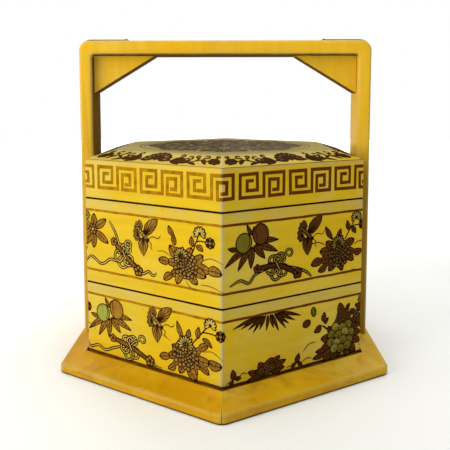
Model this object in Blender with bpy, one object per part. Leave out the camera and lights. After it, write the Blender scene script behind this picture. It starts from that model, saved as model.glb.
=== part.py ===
"""Hexagonal stacking food carrier: two lift-out trays and a lid on a plinth with a fixed carrying frame.

Units are metres, with +Z up. The origin is the centre of the underside of the base, on which the
carrier stands. Every hexagon has a corner towards -Y and +Y and a flat side towards -X and +X, and
the carrying frame rises from the two flat sides.
"""

import math

import bmesh
import bpy
from mathutils import Matrix

# Driving dimensions: the trays' plan
TRAY_RADIUS = 0.1500  # centre to corner
WALL = 0.0050
CORNER_ROUND = 0.0016
SIDE_NAMES = ("right", "back_right", "back_left", "left", "front_left", "front_right")

# Clearances
GAP = 0.0003  # between pieces that are glued or that rest on each other
LIFT_FIT = 0.0007  # round a piece that lifts out

# Base
BASE_RADIUS = 0.1778
BASE_ROUND = 0.0090
BASE_EDGE_HEIGHT = 0.0087
BASE_EDGE_ROUND = 0.0020
BASE_EDGE_TURN = 75  # degrees that the rounded edge turns through before the cove starts
BASE_TOP = 0.0158
BASE_LEDGE = 0.0022  # flat strip beside the tray
COVE_PULL_OUT = 0.35  # where the cove's control point stands, as a share of the cove's width
COVE_PULL_UP = 0.30  # and of its height
BASE_FOOT_CHAMFER = 0.0008
TRAY_SEAT = 0.0034  # height of the lower tray's underside
MORTISE_FLOOR = 0.0030

# Trays
TRAY_HEIGHT = 0.0803
TRAY_FLOOR = 0.0040
TRAY_FOOT = 0.0065  # space under a tray's floor, which takes the lip of the piece below
LIP_THICKNESS = 0.0030
LIP_RISE = 0.0050
LIP_GLUED = 0.0100  # length of lip glued to the wall

# Lid
RIM_HEIGHT = 0.0360
SHOULDER_RISE = 0.0077
SHOULDER_EDGE = 0.0035  # upright outer edge of the shoulder boards
PLATEAU_RADIUS = 0.1200
LID_TOP_THICKNESS = 0.0050

# Carrying frame
POST_INNER = 0.1354
POST_THICKNESS = 0.0133
FRAME_DEPTH = 0.0380
FRAME_ROUND = 0.0018
BAR_UNDERSIDE = 0.3011
BAR_THICKNESS = 0.0146
BAR_CORNER = 0.0105
TENON_SHOULDER = 0.0035
TENON_HEIGHT = 0.0080
GUSSET_ALONG_BAR = 0.0625
GUSSET_ALONG_POST = 0.0383
GUSSET_THICKNESS = 0.0220
GUSSET_BLUNT = 0.0008

# Corner straps and their nails
STRAP_THICKNESS = 0.0012
STRAP_WIDTH = 0.0200
STRAP_ALONG_BAR = 0.0490
STRAP_ALONG_POST = 0.0400
NAIL_INSET = 0.0035  # from the strap's end
NAIL_HEAD_RADIUS = 0.0016
NAIL_HEAD_HEIGHT = 0.0014
NAIL_SHANK_RADIUS = 0.0007
NAIL_SHANK_LENGTH = 0.0070
NAIL_POINT_LENGTH = 0.0014

# Sizes that follow
HALF_SIDE = math.radians(30)  # half the angle that one side takes up round the centre
TRAY_APOTHEM = TRAY_RADIUS * math.cos(HALF_SIDE)
BASE_APOTHEM = BASE_RADIUS * math.cos(HALF_SIDE)
PLATEAU_APOTHEM = PLATEAU_RADIUS * math.cos(HALF_SIDE)
WALL_INSIDE = TRAY_APOTHEM - WALL
LIP_OUTSIDE = WALL_INSIDE - GAP
UPPER_TRAY_SEAT = TRAY_SEAT + TRAY_HEIGHT
LID_SEAT = UPPER_TRAY_SEAT + TRAY_HEIGHT
FRAME_HALF_WIDTH = POST_INNER + POST_THICKNESS
BAR_TOP = BAR_UNDERSIDE + BAR_THICKNESS

# Turns that bring a side's own geometry, made facing +X, round the hexagon
SIDE_TURNS = [index * 2 * HALF_SIDE for index in range(len(SIDE_NAMES))]

# How finely round shapes are divided
ARC_STEPS = 3  # small rounded edges
BAR_CORNER_STEPS = 6
POST_EDGE_SEGMENTS = 2
NAIL_DOME_STEPS = 4
NAIL_STEPS = 10


def clear_scene():
    """Removes every object, so that the model starts from an empty scene."""
    for item in list(bpy.data.objects):
        bpy.data.objects.remove(item)


def make_material(name, colour, roughness, metallic=0.0):
    """Returns a Principled BSDF material."""
    material = bpy.data.materials.new(name)
    material.use_nodes = True
    shader = material.node_tree.nodes["Principled BSDF"]
    shader.inputs["Base Color"].default_value = (*colour, 1.0)
    shader.inputs["Roughness"].default_value = roughness
    shader.inputs["Metallic"].default_value = metallic
    return material


def make_body_origin(name, height):
    """Returns the empty that carries a body's pieces, at the height where the body rests."""
    empty = bpy.data.objects.new(name, None)
    empty.location = (0, 0, height)
    bpy.context.scene.collection.objects.link(empty)
    return empty


def close_mesh(name, mesh_builder):
    """Turns a bmesh into a mesh with merged points and outward faces."""
    bmesh.ops.remove_doubles(mesh_builder, verts=mesh_builder.verts, dist=1e-6)
    bmesh.ops.dissolve_degenerate(mesh_builder, edges=mesh_builder.edges, dist=1e-7)
    bmesh.ops.recalc_face_normals(mesh_builder, faces=mesh_builder.faces)
    mesh = bpy.data.meshes.new(name)
    mesh_builder.to_mesh(mesh)
    mesh_builder.free()
    return mesh


def add_piece(name, mesh, material, parent, turn=0.0):
    """Adds one sub-part that shows a mesh, turned about the carrier's upright axis."""
    if not mesh.materials:
        mesh.materials.append(material)
    piece = bpy.data.objects.new(name, mesh)
    piece.rotation_euler = (0, 0, turn)
    piece.parent = parent
    bpy.context.scene.collection.objects.link(piece)
    return piece


def add_cut(piece, cutter):
    """Cuts a hidden object's shape out of a piece."""
    cut = piece.modifiers.new("cut_" + cutter.name, "BOOLEAN")
    cut.operation = "DIFFERENCE"
    cut.solver = "EXACT"
    cut.object = cutter
    cutter.hide_render = True
    cutter.display_type = "WIRE"


def arc(centre, radius, start, end, steps=ARC_STEPS):
    """Points of an arc in the section plane, from one angle to another in degrees."""
    angles = [math.radians(start + (end - start) * step / steps) for step in range(steps + 1)]
    return [(centre[0] + radius * math.cos(a), centre[1] + radius * math.sin(a)) for a in angles]


def mitred_board(name, section, corner_round):
    """One side of a hexagonal ring, facing +X, with both ends cut along the mitres.

    section lists (distance from the centre, height) round the board's cross-section. The outermost
    faces meet their neighbours in a corner rounded by corner_round, and faces further in are
    rounded less, until they meet in a sharp corner.
    """
    outermost = max(distance for distance, _ in section)
    mitre_setback = GAP / 2 / math.cos(HALF_SIDE)
    shape = bmesh.new()
    columns = []
    stations = [(-1, step) for step in range(ARC_STEPS, -1, -1)]
    stations += [(1, step) for step in range(ARC_STEPS + 1)]
    for side, step in stations:
        angle = HALF_SIDE * step / ARC_STEPS
        column = []
        for distance, height in section:
            rounding = max(corner_round - (outermost - distance), 0.0)
            straight = (distance - rounding) * math.tan(HALF_SIDE) - mitre_setback
            x = distance - rounding + rounding * math.cos(angle)
            y = side * (straight + rounding * math.sin(angle))
            column.append(shape.verts.new((x, y, height)))
        columns.append(column)
    count = len(section)
    for first, second in zip(columns, columns[1:]):
        for index in range(count):
            after = (index + 1) % count
            shape.faces.new((first[index], first[after], second[after], second[index]))
    shape.faces.new(columns[0])
    shape.faces.new(columns[-1])
    return close_mesh(name, shape)


def hexagon_panel(name, apothem, bottom, top):
    """A flat hexagonal board with a corner towards -Y and +Y."""
    radius = apothem / math.cos(HALF_SIDE)
    shape = bmesh.new()
    outline = []
    for turn in SIDE_TURNS:
        corner = turn + HALF_SIDE
        outline.append(shape.verts.new((radius * math.cos(corner), radius * math.sin(corner), bottom)))
    face = shape.faces.new(outline)
    raised = bmesh.ops.extrude_face_region(shape, geom=[face])["geom"]
    lifted = [item for item in raised if isinstance(item, bmesh.types.BMVert)]
    bmesh.ops.translate(shape, verts=lifted, vec=(0, 0, top - bottom))
    return close_mesh(name, shape)


def extruded_outline(name, outline, depth):
    """A solid whose outline lies in the XZ plane, centred on Y."""
    shape = bmesh.new()
    front = [shape.verts.new((x, -depth / 2, z)) for x, z in outline]
    face = shape.faces.new(front)
    pushed = bmesh.ops.extrude_face_region(shape, geom=[face])["geom"]
    moved = [item for item in pushed if isinstance(item, bmesh.types.BMVert)]
    bmesh.ops.translate(shape, verts=moved, vec=(0, depth, 0))
    return close_mesh(name, shape)


def box_mesh(name, low, high):
    """A box between two corners."""
    outline = [(low[0], low[2]), (high[0], low[2]), (high[0], high[2]), (low[0], high[2])]
    mesh = extruded_outline(name, outline, high[1] - low[1])
    mesh.transform(Matrix.Translation((0, (low[1] + high[1]) / 2, 0)))
    return mesh


def turned_mesh(name, profile, steps):
    """A solid turned about Z from (radius, height) points that start and end on the axis."""
    shape = bmesh.new()
    points = [shape.verts.new((radius, 0, height)) for radius, height in profile]
    edges = [shape.edges.new(pair) for pair in zip(points, points[1:])]
    bmesh.ops.spin(
        shape,
        geom=points + edges,
        axis=(0, 0, 1),
        cent=(0, 0, 0),
        angle=2 * math.pi,
        steps=steps,
        use_merge=True,
    )
    return close_mesh(name, shape)


def add_boards(group, mesh, material, parent):
    """Adds a mitred board on each of the six sides."""
    boards = {}
    for side, turn in zip(SIDE_NAMES, SIDE_TURNS):
        boards[side] = add_piece(f"{group}_{side}", mesh, material, parent, turn)
    return boards


def rail_section():
    """Cross-section of the base moulding: upright edge, rounded over into a shallow cove."""
    inside = TRAY_APOTHEM + LIFT_FIT
    edge_centre = (BASE_APOTHEM - BASE_EDGE_ROUND, BASE_EDGE_HEIGHT - BASE_EDGE_ROUND)
    edge = arc(edge_centre, BASE_EDGE_ROUND, 0, BASE_EDGE_TURN)
    ledge = (inside + BASE_LEDGE, BASE_TOP)
    start = edge[-1]
    pull = (
        ledge[0] + (start[0] - ledge[0]) * COVE_PULL_OUT,
        start[1] + (ledge[1] - start[1]) * COVE_PULL_UP,
    )
    cove = []
    for step in range(1, ARC_STEPS + 1):
        t = step / (ARC_STEPS + 1)
        cove.append(
            tuple(
                (1 - t) ** 2 * a + 2 * t * (1 - t) * b + t**2 * c
                for a, b, c in zip(start, pull, ledge)
            )
        )
    foot = [
        (inside, 0.0),
        (BASE_APOTHEM - BASE_FOOT_CHAMFER, 0.0),
        (BASE_APOTHEM, BASE_FOOT_CHAMFER),
    ]
    return foot + edge + cove + [ledge, (inside, BASE_TOP)]


def add_base(parent, lacquer, underside_lacquer):
    """The plinth: six mitred mouldings round a floor board. Returns the mouldings by side."""
    rail = mitred_board("base_rail", rail_section(), BASE_ROUND)
    rails = add_boards("base_rail", rail, lacquer, parent)
    floor_apothem = TRAY_APOTHEM + LIFT_FIT - GAP
    floor = hexagon_panel("base_floor", floor_apothem, 0.0, TRAY_SEAT - GAP)
    add_piece("base_floor", floor, underside_lacquer, parent)
    for side, name in ((1, "right"), (-1, "left")):
        near = side * (POST_INNER - GAP)
        far = side * (FRAME_HALF_WIDTH + GAP)
        half_depth = FRAME_DEPTH / 2 + GAP
        low = (min(near, far), -half_depth, MORTISE_FLOOR)
        high = (max(near, far), half_depth, BASE_TOP + BASE_LEDGE)
        mortise = add_piece(f"mortise_{name}", box_mesh("mortise", low, high), lacquer, parent)
        add_cut(rails[name], mortise)
    return rails


def board_section(thickness, bottom, top):
    """Rectangular cross-section of an upright board whose face is the trays' outside."""
    inside = TRAY_APOTHEM - thickness
    return [(inside, bottom), (TRAY_APOTHEM, bottom), (TRAY_APOTHEM, top), (inside, top)]


def tray_meshes():
    """The three meshes that each tray is put together from, from its own underside up."""
    wall = mitred_board("tray_wall", board_section(WALL, 0.0, TRAY_HEIGHT - GAP), CORNER_ROUND)
    floor_apothem = WALL_INSIDE - GAP
    floor = hexagon_panel("tray_floor", floor_apothem, TRAY_FOOT, TRAY_FOOT + TRAY_FLOOR)
    lip_section = [
        (LIP_OUTSIDE - LIP_THICKNESS, TRAY_HEIGHT - LIP_GLUED),
        (LIP_OUTSIDE, TRAY_HEIGHT - LIP_GLUED),
        (LIP_OUTSIDE, TRAY_HEIGHT + LIP_RISE / 2),
        (LIP_OUTSIDE - LIFT_FIT, TRAY_HEIGHT + LIP_RISE),
        (LIP_OUTSIDE - LIP_THICKNESS, TRAY_HEIGHT + LIP_RISE),
    ]
    lip = mitred_board("tray_lip", lip_section, 0.0)
    return wall, floor, lip


def add_tray(name, meshes, lacquer, inside_lacquer, parent):
    """A tray: six mitred walls, a raised floor, and a lip that locates the piece above."""
    wall, floor, lip = meshes
    add_boards(f"{name}_wall", wall, lacquer, parent)
    add_piece(f"{name}_floor", floor, inside_lacquer, parent)
    add_boards(f"{name}_lip", lip, inside_lacquer, parent)


def add_lid(parent, lacquer):
    """The lid: an upright rim, sloping shoulder boards and a flat top panel."""
    shoulder_bottom = RIM_HEIGHT - SHOULDER_EDGE
    rim_section = board_section(WALL, 0.0, shoulder_bottom - GAP)
    add_boards("lid_rim", mitred_board("lid_rim", rim_section, CORNER_ROUND), lacquer, parent)
    plateau = RIM_HEIGHT + SHOULDER_RISE
    joint = PLATEAU_APOTHEM + GAP / 2
    shoulder_section = [
        (WALL_INSIDE, shoulder_bottom),
        (TRAY_APOTHEM, shoulder_bottom),
        (TRAY_APOTHEM, RIM_HEIGHT),
        (joint, plateau),
        (joint, plateau - LID_TOP_THICKNESS),
    ]
    shoulder = mitred_board("lid_shoulder", shoulder_section, CORNER_ROUND)
    add_boards("lid_shoulder", shoulder, lacquer, parent)
    panel_apothem = PLATEAU_APOTHEM - GAP / 2
    panel = hexagon_panel("lid_panel", panel_apothem, plateau - LID_TOP_THICKNESS, plateau)
    add_piece("lid_panel", panel, lacquer, parent)


def post_mesh(side):
    """An upright post whose top is stepped in to a stub tenon."""
    low = (POST_INNER, -FRAME_DEPTH / 2, MORTISE_FLOOR + GAP)
    high = (FRAME_HALF_WIDTH, FRAME_DEPTH / 2, BAR_UNDERSIDE - GAP)
    shape = bmesh.new()
    shape.from_mesh(box_mesh("post_blank", low, high))
    shape.normal_update()
    top = max(shape.faces, key=lambda face: face.calc_center_median().z)
    bmesh.ops.inset_region(
        shape, faces=[top], thickness=TENON_SHOULDER, use_boundary=True, use_even_offset=True
    )
    raised = bmesh.ops.extrude_face_region(shape, geom=[top])["geom"]
    lifted = [item for item in raised if isinstance(item, bmesh.types.BMVert)]
    bmesh.ops.translate(shape, verts=lifted, vec=(0, 0, TENON_HEIGHT))
    bmesh.ops.delete(shape, geom=[top], context="FACES_ONLY")
    half_height = (high[2] - low[2]) / 2
    uprights = [edge for edge in shape.edges if edge.calc_length() > half_height]
    bmesh.ops.bevel(
        shape,
        geom=uprights,
        offset=FRAME_ROUND,
        segments=POST_EDGE_SEGMENTS,
        profile=0.5,
        affect="EDGES",
    )
    bmesh.ops.scale(shape, verts=shape.verts, vec=(side, 1, 1))
    return close_mesh("post", shape)


def bar_outline():
    """Outline of the crossbar seen from the front, with rounded outer top corners."""
    turn = (FRAME_HALF_WIDTH - BAR_CORNER, BAR_TOP - BAR_CORNER)
    right = arc(turn, BAR_CORNER, 0, 90, BAR_CORNER_STEPS)
    left = [(-x, z) for x, z in reversed(right)]
    underside = [(-FRAME_HALF_WIDTH, BAR_UNDERSIDE), (FRAME_HALF_WIDTH, BAR_UNDERSIDE)]
    return underside + right + left


def gusset_outline(side):
    """Right-angled triangle in the corner below the bar, its two thin tips blunted."""
    corner_x = POST_INNER - GAP
    corner_z = BAR_UNDERSIDE - GAP
    along_bar = corner_x - GUSSET_ALONG_BAR
    down_post = corner_z - GUSSET_ALONG_POST
    points = [
        (corner_x, corner_z),
        (along_bar, corner_z),
        (along_bar, corner_z - GUSSET_BLUNT),
        (corner_x - GUSSET_BLUNT, down_post),
        (corner_x, down_post),
    ]
    return [(side * x, z) for x, z in points]


def strap_outline(side):
    """Thin strip bent over the frame's outer top corner."""
    turn = (FRAME_HALF_WIDTH - BAR_CORNER, BAR_TOP - BAR_CORNER)
    end_x = FRAME_HALF_WIDTH - STRAP_ALONG_BAR
    end_z = BAR_TOP - STRAP_ALONG_POST
    inner_radius = BAR_CORNER + GAP
    outer_radius = inner_radius + STRAP_THICKNESS
    outer = arc(turn, outer_radius, 0, 90, BAR_CORNER_STEPS)
    inner = arc(turn, inner_radius, 90, 0, BAR_CORNER_STEPS)
    points = [(turn[0] + outer_radius, end_z)] + outer + [(end_x, turn[1] + outer_radius)]
    points += [(end_x, turn[1] + inner_radius)] + inner + [(turn[0] + inner_radius, end_z)]
    return [(side * x, z) for x, z in points]


def nail_places():
    """Where each nail's head meets the strap, with the direction that the head faces."""
    outside = GAP + STRAP_THICKNESS + GAP
    places = {}
    for side, name in ((1, "right"), (-1, "left")):
        above = FRAME_HALF_WIDTH - STRAP_ALONG_BAR + NAIL_INSET
        beside = BAR_TOP - STRAP_ALONG_POST + NAIL_INSET
        turn_out = side * math.pi / 2
        places[f"nail_top_{name}"] = ((side * above, 0, BAR_TOP + outside), (0, 0, 0))
        beside_face = side * (FRAME_HALF_WIDTH + outside)
        places[f"nail_side_{name}"] = ((beside_face, 0, beside), (0, turn_out, 0))
    return places


def nail_meshes():
    """The domed nail, and the slightly larger hole that it goes through."""
    dome = arc((0, 0), 1.0, 90, 0, NAIL_DOME_STEPS)
    head = [(NAIL_HEAD_RADIUS * x, NAIL_HEAD_HEIGHT * z) for x, z in dome]
    shank = [
        (NAIL_SHANK_RADIUS, 0),
        (NAIL_SHANK_RADIUS, NAIL_POINT_LENGTH - NAIL_SHANK_LENGTH),
        (0, -NAIL_SHANK_LENGTH),
    ]
    head[0] = (0, NAIL_HEAD_HEIGHT)
    nail = turned_mesh("nail", head + shank, NAIL_STEPS)
    hole_radius = NAIL_SHANK_RADIUS + GAP
    hole_bottom = -NAIL_SHANK_LENGTH - GAP
    hole_top = NAIL_HEAD_HEIGHT
    hole = [(0, hole_top), (hole_radius, hole_top), (hole_radius, hole_bottom), (0, hole_bottom)]
    return nail, turned_mesh("nail_hole", hole, NAIL_STEPS)


def add_frame(parent, lacquer, strap_metal, nail_metal):
    """The carrying frame: posts, crossbar, gussets, corner straps and nails."""
    bar = add_piece(
        "crossbar", extruded_outline("crossbar", bar_outline(), FRAME_DEPTH), lacquer, parent
    )
    wood = {}
    straps = {}
    for side, name in ((1, "right"), (-1, "left")):
        wood[name] = add_piece(f"post_{name}", post_mesh(side), lacquer, parent)
        gusset = extruded_outline("gusset", gusset_outline(side), GUSSET_THICKNESS)
        add_piece(f"gusset_{name}", gusset, lacquer, parent)
        strap = extruded_outline("strap", strap_outline(side), STRAP_WIDTH)
        straps[name] = add_piece(f"strap_{name}", strap, strap_metal, parent)
        inset = TENON_SHOULDER - GAP
        near = side * (POST_INNER + inset)
        far = side * (FRAME_HALF_WIDTH - inset)
        half_depth = FRAME_DEPTH / 2 - inset
        low = (min(near, far), -half_depth, BAR_UNDERSIDE - TENON_SHOULDER)
        high = (max(near, far), half_depth, BAR_UNDERSIDE + TENON_HEIGHT)
        socket = add_piece(f"tenon_socket_{name}", box_mesh("socket", low, high), lacquer, parent)
        add_cut(bar, socket)
    nail, hole = nail_meshes()
    for name, (place, tilt) in nail_places().items():
        head = add_piece(name, nail, nail_metal, parent)
        bore = add_piece(f"{name}_hole", hole, nail_metal, parent)
        for item in (head, bore):
            item.location = place
            item.rotation_euler = tilt
        side = name.rsplit("_", 1)[1]
        add_cut(straps[side], bore)
        add_cut(bar if "top" in name else wood[side], bore)


def build():
    """Builds the whole carrier."""
    clear_scene()
    lacquer = make_material("yellow_lacquer", (0.70, 0.45, 0.06), 0.35)
    inside_lacquer = make_material("dark_red_lacquer", (0.16, 0.03, 0.02), 0.4)
    strap_metal = make_material("dark_strap_metal", (0.20, 0.15, 0.07), 0.5, 0.8)
    nail_metal = make_material("brown_nail_metal", (0.25, 0.17, 0.07), 0.45, 0.9)
    frame_body = make_body_origin("carrier_frame_origin", 0.0)
    lower_body = make_body_origin("lower_tray_origin", TRAY_SEAT)
    upper_body = make_body_origin("upper_tray_origin", UPPER_TRAY_SEAT)
    lid_body = make_body_origin("lid_origin", LID_SEAT)
    add_base(frame_body, lacquer, inside_lacquer)
    add_frame(frame_body, lacquer, strap_metal, nail_metal)
    meshes = tray_meshes()
    add_tray("lower_tray", meshes, lacquer, inside_lacquer, lower_body)
    add_tray("upper_tray", meshes, lacquer, inside_lacquer, upper_body)
    add_lid(lid_body, lacquer)


build()
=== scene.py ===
"""Looks for the hexagonal lacquered food carrier: lacquer skins, painted decoration, light and camera.

Units are metres in the frame's axes: the front corner of every hexagon points along -Y. Artwork is
drawn flat, in millimetres, and then wrapped round the hexagon.
"""

import cmath
import math
import random

import bmesh
import bpy
from mathutils import Matrix, Vector


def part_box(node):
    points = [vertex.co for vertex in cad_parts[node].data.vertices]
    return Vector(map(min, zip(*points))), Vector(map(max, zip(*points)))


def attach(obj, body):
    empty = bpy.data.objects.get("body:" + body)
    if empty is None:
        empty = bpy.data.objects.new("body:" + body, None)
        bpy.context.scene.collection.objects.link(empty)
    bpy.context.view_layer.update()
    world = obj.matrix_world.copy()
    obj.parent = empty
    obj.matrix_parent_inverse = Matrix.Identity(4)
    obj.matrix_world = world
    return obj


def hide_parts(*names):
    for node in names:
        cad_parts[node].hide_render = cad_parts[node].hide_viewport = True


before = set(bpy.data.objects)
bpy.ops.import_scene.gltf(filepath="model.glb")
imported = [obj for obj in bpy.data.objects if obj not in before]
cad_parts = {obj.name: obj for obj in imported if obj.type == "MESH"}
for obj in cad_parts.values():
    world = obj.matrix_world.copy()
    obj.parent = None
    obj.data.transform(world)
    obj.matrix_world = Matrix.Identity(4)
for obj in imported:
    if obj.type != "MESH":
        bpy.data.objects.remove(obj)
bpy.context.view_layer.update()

MM = 0.001
SIDES = ("right", "back_right", "back_left", "left", "front_left", "front_right")
HALF_ANGLE = math.radians(30)  # half the angle that one side takes up round the centre

# ---- Sizes read from the frame ----

TRAY_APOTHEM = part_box("lower_tray_wall_right")[1].x
BASE_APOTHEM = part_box("base_rail_right")[1].x
BASE_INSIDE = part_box("base_rail_right")[0].x
BASE_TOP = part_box("base_rail_right")[1].z
LOWER_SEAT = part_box("lower_tray_wall_right")[0].z
UPPER_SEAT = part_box("upper_tray_wall_right")[0].z
LID_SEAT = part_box("lid_rim_right")[0].z
TRAY_HEIGHT = UPPER_SEAT - LOWER_SEAT
WALL = TRAY_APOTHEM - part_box("lower_tray_wall_right")[0].x
LIP_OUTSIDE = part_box("lower_tray_lip_right")[1].x
LIP_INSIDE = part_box("lower_tray_lip_right")[0].x
LIP_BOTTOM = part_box("lower_tray_lip_right")[0].z - LOWER_SEAT
LIP_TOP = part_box("lower_tray_lip_right")[1].z - LOWER_SEAT
PLATEAU_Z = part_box("lid_panel")[1].z
PLATEAU_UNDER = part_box("lid_panel")[0].z
PLATEAU_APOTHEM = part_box("lid_panel")[1].x
POST_LOW, POST_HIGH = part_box("post_right")
BAR_LOW, BAR_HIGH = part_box("crossbar")
SIDE_MM = 2 * TRAY_APOTHEM * math.tan(HALF_ANGLE) / MM
TRAY_MM = TRAY_HEIGHT / MM
RIM_HEIGHT = 0.0360  # the lid's upright rim, from its seat to the shoulder
RIM_TOP = LID_SEAT + RIM_HEIGHT

# ---- Finish of edges ----

SEAM_GAP = 0.0003  # dark joint between two stacked parts
CORNER_ROUND = 0.0024  # upright corners of the box
EDGE_ROUND = 0.0005  # level edges of the box
BASE_ROUND = 0.0095  # corners of the base moulding
FRAME_ROUND = 0.0030  # long edges of the posts and the crossbar
CORNER_STEPS = 6  # steps in half a corner of the box
MITRE_STEPS = 8  # steps in half a corner of the base
SEAM_EDGE = (0.45, 0.75)  # wear and painted highlight, and grime, of an edge at a joint
INNER_EDGE = (0.3, 0.1)  # the same for an edge inside the box
MITRE_WEAR_AND_HIGHLIGHT = 0.62
MITRE_GRIME = 0.45

# How rubbed a tray's outside is, by height above its seat.
RUBBED_HEIGHTS = ((0.004, 0.05), (0.020, 0.0), (0.045, 0.0), (0.068, 0.12), (0.0705, 0.42), (0.076, 0.50))

# ---- Painted decoration, in millimetres ----

PAINT_HEIGHT = 0.05  # how far the lowest layer of paint stands off the lacquer
PAINT_STEP = 0.015  # how much higher each further layer stands
PAINT_SUNK = 0.03  # how far its underside lies below the lacquer
BORDER_HIGH = 69.4  # the two lines round each tray, above the tray's foot
BORDER_LOW = 12.6
BORDER_WIDTH = 2.2
FOOT_LINE = 13.3  # the lower tray's low line, which shows just above the base
FRET_BOTTOM = 9.5  # above the lid's seat
FRET_STROKE = 3.05
FRET_PERIOD = 50.0
FRET_START = 35.0  # how far the first repeat begins before the near corner of the right side

# ---- Strength of the surround's light, on the left and on the right ----

WORLD_LEFT = 0.50
WORLD_RIGHT = 0.05

rng = random.Random(7)


# ---------------------------------------------------------------------------
# Mesh helpers
# ---------------------------------------------------------------------------


def add_piece(name, mesh, material, body, replaced=()):
    """Adds a mesh to the scene as a piece that rides on a body."""
    piece = bpy.data.objects.new(name, mesh)
    bpy.context.scene.collection.objects.link(piece)
    mesh.materials.clear()
    mesh.materials.append(material)
    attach(piece, body)
    if replaced:
        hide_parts(*replaced)
    return piece


def refinish(node, material):
    """Gives a part that keeps its CAD shape a new material."""
    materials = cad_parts[node].data.materials
    materials.clear()
    materials.append(material)


def finish_mesh(name, shape, smooth_angle=40):
    """Turns a bmesh into a smooth-shaded mesh with outward faces."""
    bmesh.ops.recalc_face_normals(shape, faces=shape.faces)
    mesh = bpy.data.meshes.new(name)
    shape.to_mesh(mesh)
    shape.free()
    mesh.shade_smooth()
    mesh.set_sharp_from_angle(angle=math.radians(smooth_angle))
    return mesh


def arc(centre, radius, start, end, steps):
    """Points of an arc in the section plane, from one angle to another in degrees."""
    angles = [math.radians(start + (end - start) * i / steps) for i in range(steps + 1)]
    return [(centre[0] + radius * math.cos(a), centre[1] + radius * math.sin(a)) for a in angles]


def dressed(points, wear_and_highlight, grime_and_shade):
    """Section points that share the same edge wear and painted highlight, and the same grime and painted
    shade.
    """
    return [(*point, wear_and_highlight, grime_and_shade) for point in points]


def side_stations(corner_steps):
    """Places across one side: (position along the straight from -1 to 1, turn of the corner arc)."""
    near = (0.0, 0.005, 0.011, 0.022, 0.07, 0.16, 0.35, 0.62, 1.0)
    straight = [-1 + d for d in near] + [1 - d for d in reversed(near[:-1])]
    stations = [(f, 0.0) for f in straight]
    stations += [(1.0, HALF_ANGLE * (i + 1) / corner_steps) for i in range(corner_steps)]
    return stations


def hex_point(side_angle, apothem, rounding, station):
    """A point on a rounded hexagon of the given apothem, at a station along one side."""
    along, turn = station
    rounding = min(rounding, apothem)
    reach = (apothem - rounding) * math.tan(HALF_ANGLE)
    x = apothem - rounding + rounding * math.cos(turn)
    y = along * reach + math.copysign(rounding * math.sin(turn), along)
    return Vector(
        (
            x * math.cos(side_angle) - y * math.sin(side_angle),
            x * math.sin(side_angle) + y * math.cos(side_angle),
        )
    )


def hex_stations():
    """Stations round the whole hexagon: (side angle, station), each corner's arc split in two halves."""
    places = []
    for index in range(6):
        angle = index * 2 * HALF_ANGLE
        places += [(angle, station) for station in side_stations(CORNER_STEPS)]
        for step in range(CORNER_STEPS - 1, 0, -1):
            places.append((angle + 2 * HALF_ANGLE, (-1.0, HALF_ANGLE * step / CORNER_STEPS)))
    return places


def corner_nearness(station):
    """1 on a corner's arc, falling to 0 a few millimetres along the side."""
    along, turn = station
    if turn:
        return 1.0
    return max(0.0, 1.0 - (1 - abs(along)) / 0.022)


def join_columns(shape, columns, closed):
    """Quads between neighbouring columns of vertices. Closed joins each last vertex to the first."""
    for first, second in zip(columns, columns[1:]):
        last = len(first) if closed else len(first) - 1
        for row in range(last):
            after = (row + 1) % len(first)
            shape.faces.new((first[row], second[row], second[after], first[after]))


def hex_loft(name, section, corner_round, closed):
    """A hexagonal skin from section points (apothem, height, edge wear and painted highlight, grime and
    painted shade).

    A closed section makes a ring. An open one starts and ends on flat caps across the axis.
    """
    outermost = max(point[0] for point in section)
    shape = bmesh.new()
    wear_and_highlight = shape.verts.layers.float.new("wear_and_highlight")
    grime_and_shade = shape.verts.layers.float.new("grime_and_shade")
    dull = shape.verts.layers.float.new("dull")
    columns = []
    for angle, station in hex_stations():
        column = []
        for apothem, height, edge, darkening in section:
            rounding = max(corner_round - (outermost - apothem) * 0.5, corner_round * 0.3)
            flat = hex_point(angle, apothem, rounding, station)
            vert = shape.verts.new((flat.x, flat.y, height))
            on_top = height > PLATEAU_Z - 0.0003
            # pale corners: wear and painted highlight, full at the front and back corners, weaker on the left
            # and weakest on the shaded right
            corner_wear_and_highlight_by_side = 0.35 if flat.x > 0.05 else 0.70 if flat.x < -0.05 else 1.0
            vert[wear_and_highlight] = edge if on_top else max(edge, corner_nearness(station) * corner_wear_and_highlight_by_side)
            vert[grime_and_shade] = darkening
            # painted shade: the plateau fully, and the shoulder partly, turn to a greyer, darker tone
            vert[dull] = 1.0 if on_top else 0.4 if height > RIM_TOP + 0.0002 else 0.0
            column.append(vert)
        columns.append(column)
    join_columns(shape, [*columns, columns[0]], closed)
    if not closed:
        for row in (0, -1):
            shape.faces.new([column[row] for column in columns])
    return finish_mesh(name, shape)


def rows(low, high, count):
    """Evenly spaced values between two limits, both left out."""
    return [low + (high - low) * (i + 1) / (count + 1) for i in range(count)]


# ---------------------------------------------------------------------------
# Materials
# ---------------------------------------------------------------------------


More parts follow.
